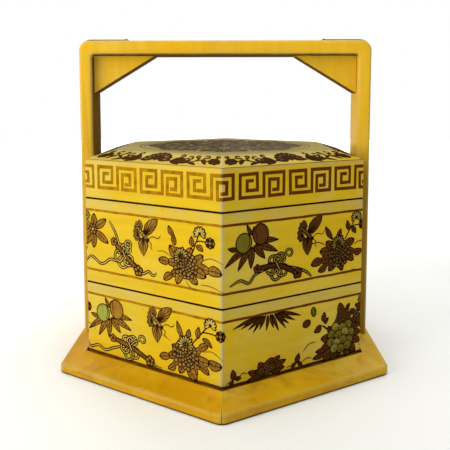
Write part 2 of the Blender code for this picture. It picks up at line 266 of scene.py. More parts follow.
class Shader:
    """A short way to wire one material's nodes."""

    def __init__(self, name):
        self.material = bpy.data.materials.new(name)
        self.material.use_nodes = True
        self.tree = self.material.node_tree
        self.bsdf = self.tree.nodes["Principled BSDF"]
        textures = self.tree.nodes.new("ShaderNodeTexCoord")
        self.coords, self.normal = textures.outputs["Object"], textures.outputs["Normal"]

    def link(self, source, target):
        self.tree.links.new(source, target)

    def feed(self, value, socket):
        """Sets a socket to a constant, or links an output to it."""
        if isinstance(value, bpy.types.NodeSocket):
            self.link(value, socket)
        else:
            socket.default_value = value

    def split(self, vector):
        """The X, Y and Z of a vector."""
        node = self.tree.nodes.new("ShaderNodeSeparateXYZ")
        self.link(vector, node.inputs["Vector"])
        return node.outputs

    def stretched(self, scale):
        """The object's coordinates, scaled along each axis."""
        node = self.tree.nodes.new("ShaderNodeMapping")
        node.inputs["Scale"].default_value = scale
        self.link(self.coords, node.inputs["Vector"])
        return node.outputs["Vector"]

    def noise(self, scale, detail=3.0, rough=0.5, vector=None, distortion=0.0):
        node = self.tree.nodes.new("ShaderNodeTexNoise")
        node.inputs["Scale"].default_value = scale
        node.inputs["Detail"].default_value = detail
        node.inputs["Roughness"].default_value = rough
        node.inputs["Distortion"].default_value = distortion
        self.link(vector or self.coords, node.inputs["Vector"])
        return node.outputs["Fac"]

    def attribute(self, name):
        node = self.tree.nodes.new("ShaderNodeAttribute")
        node.attribute_name = name
        return node.outputs["Fac"]

    def ramp(self, value, low, high, out_low=0.0, out_high=1.0):
        """Maps a value's range smoothly to another range."""
        node = self.tree.nodes.new("ShaderNodeMapRange")
        node.interpolation_type = "SMOOTHSTEP"
        limits = {"From Min": low, "From Max": high, "To Min": out_low, "To Max": out_high}
        for socket, number in limits.items():
            node.inputs[socket].default_value = number
        self.link(value, node.inputs["Value"])
        return node.outputs["Result"]

    def math(self, operation, first, second=0.0):
        node = self.tree.nodes.new("ShaderNodeMath")
        node.operation = operation
        self.feed(first, node.inputs[0])
        self.feed(second, node.inputs[1])
        return node.outputs["Value"]

    def mix(self, factor, first, second):
        """Mixes two colours, each an output or an (r, g, b)."""
        node = self.tree.nodes.new("ShaderNodeMix")
        node.data_type = "RGBA"
        self.feed(factor, node.inputs[0])
        for value, socket in ((first, node.inputs[6]), (second, node.inputs[7])):
            self.feed(value if isinstance(value, bpy.types.NodeSocket) else (*value, 1.0), socket)
        return node.outputs[2]

    def bump(self, height, distance, strength=1.0):
        node = self.tree.nodes.new("ShaderNodeBump")
        node.inputs["Distance"].default_value = distance
        node.inputs["Strength"].default_value = strength
        self.link(height, node.inputs["Height"])
        self.link(node.outputs["Normal"], self.bsdf.inputs["Normal"])

    def set(self, **values):
        for name, value in values.items():
            self.feed(value, self.bsdf.inputs[name.replace("_", " ")])
        return self.material


def aged_lacquer(name, rich, mid, cloud_and_left_tone, streak_axes, painted_frame_shade=False, smears=0.0):
    """Old yellow lacquer: clouded colour, brush streaks, specks, grimy joints, pale rubbed edges that are
    partly painted highlight, and painted shade: a greyer lid top, darker lower posts, a darker crease by the
    base and, when asked, dark undersides of the frame and a dark inner face on the left post.
    """
    s = Shader(name)
    colour = s.mix(s.ramp(s.noise(9, 3, 0.55), 0.36, 0.62), rich, mid)
    colour = s.mix(s.ramp(s.noise(13, 4, 0.6, distortion=0.6), 0.46, 0.70, 0.0, 0.85), colour, cloud_and_left_tone)
    streaks = s.ramp(s.noise(1.0, 4, 0.6, s.stretched(streak_axes)), 0.35, 0.75, 0.0, 0.30)
    colour = s.mix(streaks, colour, tuple(0.70 * c for c in rich))
    if smears:
        smear = s.ramp(s.noise(26, 6, 0.70, s.stretched((1, 1, 1.6)), 1.5), 0.47, 0.70, 0.0, smears)
        colour = s.mix(smear, colour, (0.36, 0.135, 0.003))
    specks = s.ramp(s.noise(430, 2, 0.5), 0.69, 0.76, 0.0, 0.7)
    patches = s.ramp(s.noise(30, 3, 0.6), 0.42, 0.62)
    colour = s.mix(s.math("MULTIPLY", specks, patches), colour, (0.16, 0.07, 0.015))
    # painted shade on the lid's plateau and shoulder
    colour = s.mix(s.attribute("dull"), colour, (0.36, 0.265, 0.028))
    # painted shade on the posts below the lid's rim
    colour = s.mix(s.attribute("shade"), colour, (0.26, 0.135, 0.008))
    roughness, shine = s.ramp(s.noise(45, 4, 0.6), 0.3, 0.75, 0.30, 0.48), 1.0
    # painted shade on the frame's undersides and on the left post's inner face, which also lose their sheen
    if painted_frame_shade:
        facing = s.split(s.normal)
        left_post = s.ramp(s.split(s.coords)["X"], 0.001, 0.0)
        inner = s.math("MULTIPLY", s.ramp(facing["X"], 0.75, 0.98, 0.0, 0.80), left_post)
        beneath = s.ramp(facing["Z"], -0.35, -0.8, 0.0, 0.9)
        painted_shade = s.math("MAXIMUM", inner, beneath)
        colour = s.mix(painted_shade, colour, (0.095, 0.042, 0.003))
        shine = s.math("SUBTRACT", 1.0, painted_shade)
        roughness = s.math("MAXIMUM", roughness, painted_shade)
    # rubbed edges and corners: pale worn lacquer, partly painted highlight
    paling = s.math("MULTIPLY", s.attribute("wear_and_highlight"), s.ramp(s.noise(70, 4, 0.6), 0.25, 0.70, 0.55, 1.0))
    colour = s.mix(s.ramp(paling, 0.10, 0.85, 0.0, 0.85), colour, (0.47, 0.395, 0.155))
    # grime in joints, and painted shade in the crease where the tray stands in the base
    darkening = s.math("MULTIPLY", s.attribute("grime_and_shade"), s.ramp(s.noise(60, 4, 0.6), 0.2, 0.6, 0.75, 1.0))
    darkening = s.ramp(darkening, 0.1, 0.6)
    colour = s.mix(darkening, colour, (0.040, 0.014, 0.001))
    shine = s.math("MULTIPLY", shine, s.math("SUBTRACT", 1.0, darkening))
    roughness = s.math("MAXIMUM", roughness, darkening)
    ripple = s.math("ADD", s.noise(55, 3, 0.5), s.math("MULTIPLY", s.noise(380, 3, 0.5), 0.35))
    s.bump(ripple, 0.00035, 0.5)
    return s.set(
        Base_Color=colour,
        Roughness=roughness,
        Coat_Weight=s.math("MULTIPLY", shine, 0.05),
        Coat_Roughness=0.2,
        Specular_IOR_Level=s.math("MULTIPLY", shine, 0.10),
        Specular_Tint=(1.0, 0.80, 0.40, 1.0),
    )


def inside_lacquer():
    """Dark red-brown lacquer inside the trays and the lid."""
    s = Shader("inside_lacquer")
    colour = s.mix(s.ramp(s.noise(18, 4, 0.6), 0.3, 0.7), (0.085, 0.014, 0.008), (0.17, 0.030, 0.014))
    colour = s.mix(s.ramp(s.noise(210, 3, 0.6), 0.62, 0.78, 0.0, 0.5), colour, (0.03, 0.012, 0.01))
    s.bump(s.noise(120, 3, 0.5), 0.0003, 0.35)
    roughness = s.ramp(s.noise(50, 3, 0.5), 0.3, 0.7, 0.25, 0.45)
    return s.set(Base_Color=colour, Roughness=roughness, Specular_IOR_Level=0.25)


def old_metal(name, bright, dull):
    """Tarnished hand-beaten metal."""
    s = Shader(name)
    tarnish = s.ramp(s.noise(160, 5, 0.65), 0.35, 0.65)
    colour = s.mix(tarnish, bright, dull)
    s.bump(s.noise(260, 3, 0.5), 0.0004, 0.5)
    return s.set(
        Base_Color=colour,
        Metallic=s.ramp(tarnish, 0.0, 1.0, 0.5, 0.1),
        Roughness=s.ramp(s.noise(140, 4, 0.6), 0.3, 0.7, 0.6, 0.9),
        Specular_IOR_Level=0.2,
    )


def floor_finish():
    """Pale matt studio floor whose far part glows white, so that it fades into the white backdrop far behind
    the object.
    """
    s = Shader("studio_floor")
    place = s.split(s.coords)
    squares = [s.math("MULTIPLY", place[axis], place[axis]) for axis in "XY"]
    # the floor glows from 1.1 m out, at full strength beyond 2.4 m
    far = s.ramp(s.math("SQRT", s.math("ADD", *squares)), 1.1, 2.4)
    colour = s.mix(s.ramp(s.noise(2, 2, 0.5), 0.3, 0.7), (0.90, 0.90, 0.89), (0.92, 0.92, 0.91))
    return s.set(Base_Color=colour, Roughness=0.9, Emission_Color=(1.0, 1.0, 1.0, 1.0), Emission_Strength=far)


BOX_LACQUER = aged_lacquer(
    "yellow_lacquer", (0.70, 0.440, 0.005), (0.69, 0.455, 0.011), (0.64, 0.485, 0.075), (14, 14, 150)
)
BASE_LACQUER = aged_lacquer(
    "base_lacquer", (0.58, 0.290, 0.003), (0.66, 0.380, 0.008), (0.68, 0.45, 0.05), (14, 14, 150), False, 0.55
)
POST_LACQUER = aged_lacquer(
    "frame_lacquer", (0.84, 0.460, 0.014), (0.84, 0.490, 0.024), (0.80, 0.510, 0.060), (120, 120, 12), True
)
INSIDE = inside_lacquer()
STRAP_METAL = old_metal("strap_metal", (0.050, 0.030, 0.012), (0.016, 0.010, 0.005))
NAIL_METAL = old_metal("nail_metal", (0.30, 0.21, 0.10), (0.09, 0.06, 0.03))


def ink(name, cloud_and_left_tone, right_tone, metallic=0.0, roughness=0.5):
    """Thin painted colour, a little uneven, with painted light and shade: one colour on the box's left and
    another on its right.
    """
    s = Shader(name)
    # painted light and shade: the first colour on the box's left, the second on its right
    colour = s.mix(s.ramp(s.split(s.coords)["X"], -0.0015, 0.0015), cloud_and_left_tone, right_tone)
    colour = s.mix(s.ramp(s.noise(130, 4, 0.6), 0.35, 0.7, 0.0, 0.5), colour, tuple(0.6 * c for c in right_tone))
    s.bump(s.noise(500, 2, 0.5), 0.0001, 0.4)
    return s.set(
        Base_Color=colour,
        Roughness=roughness,
        Metallic=metallic,
        Specular_IOR_Level=0.02,
        Specular_Tint=(1.0, 0.75, 0.40, 1.0),
    )


INKS = {
    "line": ink("line_paint", (0.40, 0.190, 0.006), (0.135, 0.038, 0.002), 0.1),
    # the foot line is darker than the other lines: painted shade where the lower tray meets the base
    "foot": ink("shaded_foot_line_paint", (0.15, 0.045, 0.003), (0.085, 0.022, 0.002), 0.1),
    "dark": ink("outline_paint", (0.036, 0.011, 0.001), (0.021, 0.006, 0.001)),
    "brown": ink("leaf_paint", (0.36, 0.175, 0.022), (0.115, 0.041, 0.007)),
    "petal": ink("petal_paint", (0.34, 0.205, 0.052), (0.14, 0.074, 0.016)),
    "green": ink("fruit_paint", (0.34, 0.345, 0.060), (0.17, 0.145, 0.012)),
    "pale": ink("pale_paint", (0.62, 0.47, 0.10), (0.29, 0.225, 0.040)),
    "vine": ink("vine_paint", (0.075, 0.027, 0.003), (0.055, 0.019, 0.002), 0.0, 0.8),
    "medal": ink("medallion_paint", (0.100, 0.071, 0.038), (0.160, 0.120, 0.076), 0.0, 0.8),
}


# ---------------------------------------------------------------------------
# Lacquered body
# ---------------------------------------------------------------------------


def wall_section(bottom, top):
    """Closed section of a tray wall with softened edges: (apothem, height, wear and painted highlight, grime
    and painted shade).
    """
    outside = TRAY_APOTHEM
    inside = TRAY_APOTHEM - WALL
    low, high = bottom + SEAM_GAP / 2, top - SEAM_GAP / 2
    e = EDGE_ROUND
    points = dressed(arc((outside - e, low + e), e, -90, 0, 4), *SEAM_EDGE)
    points += [(outside, low + 2 * e, 0.30, 0.0)]
    points += [(outside, bottom + z, paling, 0.0) for z, paling in RUBBED_HEIGHTS]
    points += [(outside, high - 2 * e, 0.50, 0.0)]
    points += dressed(arc((outside - e, high - e), e, 0, 90, 4), *SEAM_EDGE)
    points += dressed(arc((inside + e / 2, high - e / 2), e / 2, 90, 180, 2), *INNER_EDGE)
    return points + dressed(arc((inside + e / 2, low + e / 2), e / 2, 180, 270, 2), *INNER_EDGE)


def add_tray(name, seat):
    """A tray's lacquered shell, its lip and its floor."""
    shell = hex_loft(f"{name}_shell", wall_section(seat, seat + TRAY_HEIGHT), CORNER_ROUND, True)
    walls = [f"{name}_wall_{side}" for side in SIDES]
    add_piece(f"{name}_shell", shell, BOX_LACQUER, name, walls)
    low, high = seat + LIP_BOTTOM, seat + LIP_TOP
    section = [(LIP_INSIDE, low, 0, 0), (LIP_OUTSIDE, low, 0, 0), (LIP_OUTSIDE, high - 0.0024, 0, 0)]
    section += [(LIP_OUTSIDE - 0.0007, high - 0.0003, 0.6, 0), (LIP_OUTSIDE - 0.0011, high, 0.8, 0)]
    section += [(LIP_INSIDE + 0.0004, high, 0.8, 0), (LIP_INSIDE, high - 0.0004, 0.6, 0)]
    lip = hex_loft(f"{name}_lip", section, 0.0004, True)
    lips = [f"{name}_lip_{side}" for side in SIDES]
    add_piece(f"{name}_lip", lip, INSIDE, name, lips)
    refinish(f"{name}_floor", INSIDE)


def add_lid():
    """The lid as one lacquered shell: rim, shoulder and plateau outside, hollow inside."""
    e = EDGE_ROUND
    low = LID_SEAT + SEAM_GAP / 2
    inside = TRAY_APOTHEM - WALL
    rise = PLATEAU_Z - RIM_TOP
    run = TRAY_APOTHEM - PLATEAU_APOTHEM
    section = [(PLATEAU_APOTHEM * f, PLATEAU_Z, 0, 0) for f in (0.5, 0.97)]
    # the plateau's edge is pale: wear and painted highlight
    section += [(PLATEAU_APOTHEM, PLATEAU_Z - 0.0001, 0.7, 0.0)]
    slope = [(PLATEAU_APOTHEM + run * f, PLATEAU_Z - rise * f) for f in (0.03, 0.2, 0.5, 0.8, 0.96)]
    section += [(a, z, 0.7 if i == 0 else 0.0, 0) for i, (a, z) in enumerate(slope)]
    section += dressed(arc((TRAY_APOTHEM - e, RIM_TOP - e), e, 70, 0, 4), 0.6, 0.15)
    section += [(TRAY_APOTHEM, z, 0, 0) for z in rows(RIM_TOP - e, low + e, 4)]
    section += [(TRAY_APOTHEM, low + 2 * e, 0.3, 0.0)]
    section += dressed(arc((TRAY_APOTHEM - e, low + e), e, 0, -90, 4), *SEAM_EDGE)
    section += [(inside + e / 2, low, 0.3, 0), (inside, low + e / 2, 0.3, 0)]
    section += [(inside, RIM_TOP - WALL, 0, 0), (PLATEAU_APOTHEM, PLATEAU_UNDER, 0, 0)]
    section += [(PLATEAU_APOTHEM * 0.5, PLATEAU_UNDER, 0, 0)]
    shell = hex_loft("lid_shell", section, CORNER_ROUND, False)
    nodes = [f"lid_{part}_{side}" for part in ("rim", "shoulder") for side in SIDES]
    add_piece("lid_shell", shell, BOX_LACQUER, "lid", [*nodes, "lid_panel"])


def moulding_section():
    """Section of the base moulding: rounded upright edge, shallow cove and a ledge by the tray."""
    edge = 0.0026
    top = 0.0087
    # darker along the bottom edge
    points = [(BASE_INSIDE, 0.0, 0, 0), (BASE_APOTHEM - 0.0012, 0.0, 0.2, 0.5)]
    points += [(BASE_APOTHEM - 0.0003, 0.0004, 0.5, 0.9), (BASE_APOTHEM, 0.0014, 0.3, 0.35)]
    points += [(BASE_APOTHEM, z, 0.0, 0.0) for z in (0.003, 0.0048)]
    points += dressed(arc((BASE_APOTHEM - edge, top - edge), edge, 0, 72, 5), 0.42, 0)
    start = points[-1][:2]
    ledge = (BASE_INSIDE + 0.0024, BASE_TOP - 0.0002)
    pull = (ledge[0] + (start[0] - ledge[0]) * 0.38, start[1] + (ledge[1] - start[1]) * 0.26)
    for step in range(1, 10):
        t = step / 10
        a, z = ((1 - t) ** 2 * p + 2 * t * (1 - t) * q + t * t * r for p, q, r in zip(start, pull, ledge))
        points.append((a, z, 0, 0.0))
    # painted shade on the ledge and in the crease where the tray stands in the base
    points += [(*ledge, 0.0, 0.12), (BASE_INSIDE + 0.0004, BASE_TOP, 0, 0.7)]
    return [*points, (BASE_INSIDE, BASE_TOP - 0.0006, 0, 1)]


def mitred_piece(name, section, corner_round, setback):
    """One side of a hexagonal ring, facing +X, closed at its two mitres."""
    outermost = max(point[0] for point in section)
    stations = [(-1.0, HALF_ANGLE * i / MITRE_STEPS) for i in range(MITRE_STEPS, 0, -1)]
    stations += side_stations(MITRE_STEPS)
    shape = bmesh.new()
    wear_and_highlight = shape.verts.layers.float.new("wear_and_highlight")
    grime_and_shade = shape.verts.layers.float.new("grime_and_shade")
    columns = []
    for station in stations:
        column = []
        for apothem, height, edge, darkening in section:
            rounding = max(corner_round - (outermost - apothem), 0.0004)
            flat = hex_point(0.0, apothem, rounding, station)
            at_mitre = station[1] == HALF_ANGLE
            shift = setback if at_mitre else 0.0
            vert = shape.verts.new((flat.x, flat.y - math.copysign(shift, station[0]), height))
            # the mitres are pale: wear and painted highlight
            vert[wear_and_highlight] = max(edge, MITRE_WEAR_AND_HIGHLIGHT * station[1] / HALF_ANGLE)
            vert[grime_and_shade] = max(darkening, MITRE_GRIME if at_mitre else 0.0)
            column.append(vert)
        columns.append(column)
    join_columns(shape, columns, True)
    shape.faces.new(columns[0])
    shape.faces.new(columns[-1])
    return finish_mesh(name, shape)


def add_base():
    """The six mitred base mouldings. The floor board keeps its CAD shape."""
    section = moulding_section()
    for index, side in enumerate(SIDES):
        mesh = mitred_piece(f"base_moulding_{side}", section, BASE_ROUND, 0.00012)
        mesh.transform(Matrix.Rotation(index * 2 * HALF_ANGLE, 4, "Z"))
        add_piece(
            f"base_moulding_{side}", mesh, BASE_LACQUER, "carrier_frame",
            [f"base_rail_{side}"],
        )
    refinish("base_floor", INSIDE)


def extruded(name, outline, depth, bevel, segments, edge_wear_and_highlight):
    """A solid from an outline in the XZ plane, centred on Y, with rounded front and back edges."""
    shape = bmesh.new()
    front = [shape.verts.new((x, -depth / 2, z)) for x, z in outline]
    face = shape.faces.new(front)
    pushed = bmesh.ops.extrude_face_region(shape, geom=[face])["geom"]
    moved = [item for item in pushed if isinstance(item, bmesh.types.BMVert)]
    bmesh.ops.translate(shape, verts=moved, vec=(0, depth, 0))
    rims = [e for e in shape.edges if abs(e.verts[0].co.y - e.verts[1].co.y) < 1e-6]
    bmesh.ops.bevel(shape, geom=rims, offset=bevel, segments=segments, profile=0.5, affect="EDGES")
    wear_and_highlight = shape.verts.layers.float.new("wear_and_highlight")
    shade = shape.verts.layers.float.new("shade")
    for vert in shape.verts:
        # the rounded edges are pale: wear and painted highlight
        if 0.02 * bevel < depth / 2 - abs(vert.co.y) < bevel * 0.9:
            vert[wear_and_highlight] = edge_wear_and_highlight
        # painted shade on the posts below the lid's rim: deep on the right post, light on the left
        if vert.co.z < RIM_TOP:
            vert[shade] = 0.90 if vert.co.x > 0 else 0.35
    return finish_mesh(name, shape, 50)


def frame_outline():
    """Front outline of the carrying frame: two posts joined by the bar, corners rounded."""
    outer_x, inner_x = POST_HIGH.x, POST_LOW.x
    top, under, foot = BAR_HIGH.z, BAR_LOW.z, POST_LOW.z
    outer_round, inner_round = 0.0105, 0.0030
    shaded, lit = RIM_TOP - 0.022, RIM_TOP + 0.012  # the painted shade on the posts fades out between these heights
    right = [(inner_x, lit), (inner_x, shaded), (inner_x, foot)]
    right += [(outer_x, foot), (outer_x, shaded), (outer_x, lit)]
    right += arc((outer_x - outer_round, top - outer_round), outer_round, 0, 90, 10)
    left = [(-x, z) for x, z in reversed(right)]
    inner = arc((inner_x - inner_round, under - inner_round), inner_round, 0, 90, 5)
    inner_left = [(-x, z) for x, z in inner]
    return right + left + inner_left + list(reversed(inner))


def add_frame():
    """Carrying frame, gussets, corner straps and nails."""
    posts = extruded("carrying_frame", frame_outline(), POST_HIGH.y - POST_LOW.y, FRAME_ROUND, 5, 0.5)
    add_piece(
        "carrying_frame", posts, POST_LACQUER, "carrier_frame",
        ["post_left", "post_right", "crossbar"],
    )
    for name in ("left", "right"):
        low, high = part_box(f"gusset_{name}")
        sign = 1 if name == "right" else -1
        tip, back = min(abs(low.x), abs(high.x)), max(abs(low.x), abs(high.x))
        point = 0.0006  # how blunt the gusset's two sharp corners are
        outline = [(back, high.z), (tip, high.z), (tip, high.z - point), (back - point, low.z)]
        outline = [(sign * x, z) for x, z in (*outline, (back, low.z))]
        mesh = extruded(f"corner_gusset_{name}", outline, high.y - low.y, 0.0005, 3, 0.4)
        add_piece(
            f"corner_gusset_{name}", mesh, POST_LACQUER, "carrier_frame",
            [f"gusset_{name}"],
        )
        refinish(f"strap_{name}", STRAP_METAL)
        for place_of_nail in ("top", "side"):
            refinish(f"nail_{place_of_nail}_{name}", NAIL_METAL)


# ---------------------------------------------------------------------------
# Flat artwork, in millimetres. A point is a complex number, x to the right and y up.
# A shape is (ink, level, points, faces).
# ---------------------------------------------------------------------------

LINE = 1.1  # width of an outline


def polar(radius, degrees):
    return cmath.rect(radius, math.radians(degrees))


def place(shapes, at=0.0, turn=0.0, flip=False):
    """Moves shapes to a place on the face, turned and if asked mirrored left to right."""
    spin = polar(1.0, turn)
    return [
        (ink, level, [at + (-p.conjugate() if flip else p) * spin for p in points], faces)
        for ink, level, points, faces in shapes
    ]


def fill(ink, level, outline):
    """One filled outline."""
    return [(ink, level, outline, [tuple(range(len(outline)))])]


def strip(ink, level, left, right):
    """Quads between two rows of points."""
    n = len(left)
    return [(ink, level, left + right, [(i, i + 1, n + i + 1, n + i) for i in range(n - 1)])]


def band(ink, level, path, half_widths):
    """A strip along a path, with its own half width at each point."""
    left, right = [], []
    for i, (point, half) in enumerate(zip(path, half_widths)):
        run = path[min(i + 1, len(path) - 1)] - path[max(i - 1, 0)]
        offset = 1j * run / (abs(run) or 1.0) * half
        left.append(point + offset)
        right.append(point - offset)
    return strip(ink, level, left, right)


def ruled(ink, level, path, width):
    """A strip of even width along straight runs, with mitred turns."""
    left, right = [], []
    for i, point in enumerate(path):
        runs = (point - path[max(i - 1, 0)], path[min(i + 1, len(path) - 1)] - point)
        normals = [1j * run / abs(run) for run in runs if run]
        normal = sum(normals) / len(normals)
        offset = normal * width / 2 / abs(normal) ** 2
        left.append(point + offset)
        right.append(point - offset)
    return strip(ink, level, left, right)


def smooth_path(points, steps=5):
    """A curve through the points (Catmull-Rom)."""
    ends = [points[0], *points, points[-1]]
    path = []
    for a, b, c, d in zip(ends, ends[1:], ends[2:], ends[3:]):
        for t in (i / steps for i in range(steps)):
            bend = (2 * a - 5 * b + 4 * c - d) * t**2 + (3 * b - a - 3 * c + d) * t**3
            path.append(b + ((c - a) * t + bend) / 2)
    return [*path, points[-1]]


def brush(ink, level, points, width, thin_start=0.5, thin_end=0.15):
    """A brush stroke through points that thins towards its ends."""
    path = smooth_path(points)
    halves = []
    for i in range(len(path)):
        t = i / (len(path) - 1)
        swell = min(thin_start + (1 - thin_start) * t * 4, thin_end + (1 - thin_end) * (1 - t) * 4, 1.0)
        halves.append(width / 2 * swell)
    return band(ink, level, path, halves)


def leaf(base, tip, width, bend=0.0, ink="brown", level=0, veins=2, sharpness=1.15):
    """A pointed leaf: dark shape with two lighter halves, so that outline and midrib show."""
    length = abs(tip - base)
    along = (tip - base) / length

    def at(t, offset):
        return base + along * complex(t * length, offset + bend * math.sin(math.pi * t))

    def half_width(t):
        return width / 2 * math.sin(math.pi * t**0.85) ** (0.8 if t < 0.45 else sharpness * 0.8)

    steps = [i / 8 for i in range(9)]
    margin = 0.4 * LINE / length
    shapes = fill("dark", level, [
        at(t + margin * (2 * t - 1), side * (half_width(t) + 0.35 * LINE))
        for side in (1, -1) for t in steps[::side]
    ])
    rib = 0.3 * LINE
    for side in (1, -1):
        edge = [at(t, side * max(half_width(t) - 0.5 * LINE, rib)) for t in steps[1:-1]]
        shapes += fill(ink, level + 1, edge + [at(t, side * rib) for t in (0.86, 0.5, 0.10)])
        for i in range(veins):
            t = 0.28 + 0.5 * i / veins
            ends = [at(t, 0), at(t + 0.14, side * half_width(t + 0.1) * 0.85)]
            shapes += band("dark", level + 2, ends, [LINE * 0.22, LINE * 0.1])
    return shapes


def leaves(spans, bend, ink="brown", veins=3, sharpness=0.8):
    """Leaves given as (base, tip, width), in two layers by turns."""
    shapes = []
    for i, (base, tip, width) in enumerate(spans):
        shapes += leaf(base, tip, width, bend, ink, 2 * (i % 2), veins, sharpness)
    return shapes


def petal(base, tip, width, ink="petal", level=0):
    """A blunt petal with a dark outline."""
    length = abs(tip - base)
    along = (tip - base) / length
    profile = ((0.0, 0.35), (0.35, 0.82), (0.68, 1.0), (0.9, 0.70), (1.0, 0.22))

    def outline(grow):
        return [
            base + along * complex(t * length + (grow if t > 0.5 else -grow), side * (w * width / 2 + grow))
            for side in (1, -1) for t, w in profile[::side]
        ]

    return fill("dark", level, outline(0.40 * LINE)) + fill(ink, level + 1, outline(-0.35 * LINE))


def disc(ink, level, centre, radius_x, radius_y=None, turn=0.0, count=14):
    """A filled oval."""
    ring = [polar(1.0, 360 * i / count) for i in range(count)]
    oval = [complex(p.real * radius_x, p.imag * (radius_y or radius_x)) for p in ring]
    return fill(ink, level, [centre + p * polar(1.0, turn) for p in oval])


def outlined_disc(ink, level, centre, radius_x, radius_y=None, turn=0.0):
    """An oval with a dark outline."""
    radius_y = radius_y or radius_x
    shapes = disc("dark", level, centre, radius_x + 0.6 * LINE, radius_y + 0.6 * LINE, turn)
    return shapes + disc(ink, level + 1, centre, radius_x - 0.4 * LINE, radius_y - 0.4 * LINE, turn)


def scalloped(centre, radius, lobes, depth, turn=0.0):
    """Outline of a rounded, lobed petal or flower."""
    points = []
    for i in range(4 * lobes):
        wave = 1 - depth * abs(math.cos(math.pi / 4 * i))
        points.append(centre + polar(radius * wave, 90 * i / lobes + turn))
    return points


def small_flower(centre, radius, start=0, sweep=360):
    """A little spiky flower head of eight petals."""
    shapes = []
    for i in range(8):
        shapes += petal(centre, centre + polar(radius, start + sweep * i / 8), radius * 0.42, "pale", 2)
    return shapes + disc("dark", 4, centre, radius * 0.25)


def chrysanthemum(centre, radius, crown_turn, seed):
    """A full flower of overlapping petals, with a pale spiky crown at its upper edge."""
    pick = random.Random(seed)
    shapes = []
    rings = ((1.0, 15, 0.28), (0.76, 12, 0.26), (0.53, 9, 0.24), (0.32, 6, 0.21), (0.13, 3, 0.17))
    for ring, (reach, count, width) in enumerate(rings):
        for i in range(count):
            angle = 360 * (i + 0.5 * (ring % 2)) / count + pick.uniform(-5, 5)
            stretch = reach * radius * pick.uniform(0.93, 1.05)
            base = centre + polar(max(stretch - radius * 0.34, 0.0), angle)
            shapes += petal(base, centre + polar(stretch, angle), width * radius, "petal", 5 + 2 * ring)
    crown = centre + polar(radius * 0.70, crown_turn)
    for i in range(11):
        angle = crown_turn - 110 + 22 * i
        tip = crown + polar(radius * (0.58 + 0.08 * (i % 2)), angle)
        shapes += petal(crown + polar(radius * 0.14, angle), tip, radius * 0.16, "pale", 15 + i % 2)
    return shapes


def peach_spray():
    """Two peaches, one green and one brown, on a fan of long leaves."""
    shapes = []
    for i, tip in enumerate((-26.5-16.5j, -14-20.5j, -1.6-20.2j, 12.4-13.4j, 25.2-8.7j, 26+1.4j)):
        shapes += leaf(tip * 0.12 + 0.5j, tip, 6.2 - 0.3 * abs(i - 2.5), (i - 2.5) * 0.5, veins=3)
    shapes += leaf(-14-2.5j, -23.5-1j, 4.0, 0.6) + leaf(8j, -5.5+17j, 3.6, 0.6) + leaf(1+8j, 1.5+15j, 2.8)
    shapes += outlined_disc("brown", 4, 8+8j, 7.8, 9.0, 12) + brush("dark", 6, (4+16j, 3+10j, 5.5+1j), 0.7)
    shapes += outlined_disc("green", 6, -8.5+2j, 7.6, 8.4, -10)
    return shapes + brush("dark", 8, (-4+8.5j, -2.9+3j, -5-4j), 0.7)


def butterfly():
    """A butterfly seen from the side, its head to the lower right. Its last two wings are spotted."""
    wings = (
        (3, (1+1j, 3.5+8.5j, 8+13j, 13+14.5j, 18+14.5j, 17.5+10j, 15+5.5j, 11.5+1.5j, 7-1.5j)),
        (2-3j, (-2-4j, -4.5-9j, -3-14j, -0.5-18j, 2-20.5j, 5-16j, 7.5-10j, 6-4j)),
        (-3+2j, (2j, 1.5+7j, -0.5+11j, -3+12.5j, -4.5+10.5j, -7+10j, -7.5+7j, -9+5.5j, -6+1j)),
        (-3-1j, (-4+1j, -8+4j, -10+1.5j, -9-1j, -10-3.5j, -8-5.5j, -7-7.5j, -4-7j, -1-4j)),
    )
    shapes = []
    for index, (root, outline) in enumerate(wings):
        middle = sum(outline) / len(outline)
        inner = [middle + complex((p - middle).real * 0.84, (p - middle).imag * 0.88) for p in outline]
        shapes += fill("dark", 2, outline) + fill("brown", 3, inner)
        for edge in outline[1:-1]:
            shapes += band("dark", 4, [root, root + (edge - root) * 0.9], [0.55, 0.25])
        for share, size in ((0.55, 1.1), (0.82, 0.8)) if index > 1 else ():
            for spot in (root + (edge - root) * share for edge in outline[1:-1]):
                shapes += disc("dark", 5, spot, size * 1.1, count=8)
                shapes += disc("petal", 6, spot, size * 0.60, count=6)
    body = (-5+5j, -1+1.5j, 3-2j, 6.5-5j)
    shapes += brush("dark", 7, body, 4.4, 0.5, 0.5) + brush("petal", 8, body, 2.4, 0.4, 0.5)
    stripe = 1+1.1j
    for at in (-2.6+3j, -0.6+1.2j, 1.4-0.6j, 3.4-2.3j):
        shapes += band("dark", 9, [at - stripe, at + stripe], [0.3, 0.3])
    shapes += disc("dark", 9, 6.8-5.2j, 1.8)
    for feeler in ((7-4.5j, 12-1.5j, 18-2.5j, 21+1.5j), (7-6j, 10.5-8j, 10-11j, 12-14j)):
        shapes += brush("dark", 3, feeler, 0.8)
    return shapes


def ribbon(points, width, level=0):
    """A pale ribbon with dark edges."""
    edges = brush("dark", level, points, width * 1.18, 0.8, 0.5)
    return edges + brush("pale", level + 1, points, width * 0.34, 0.7, 0.4)


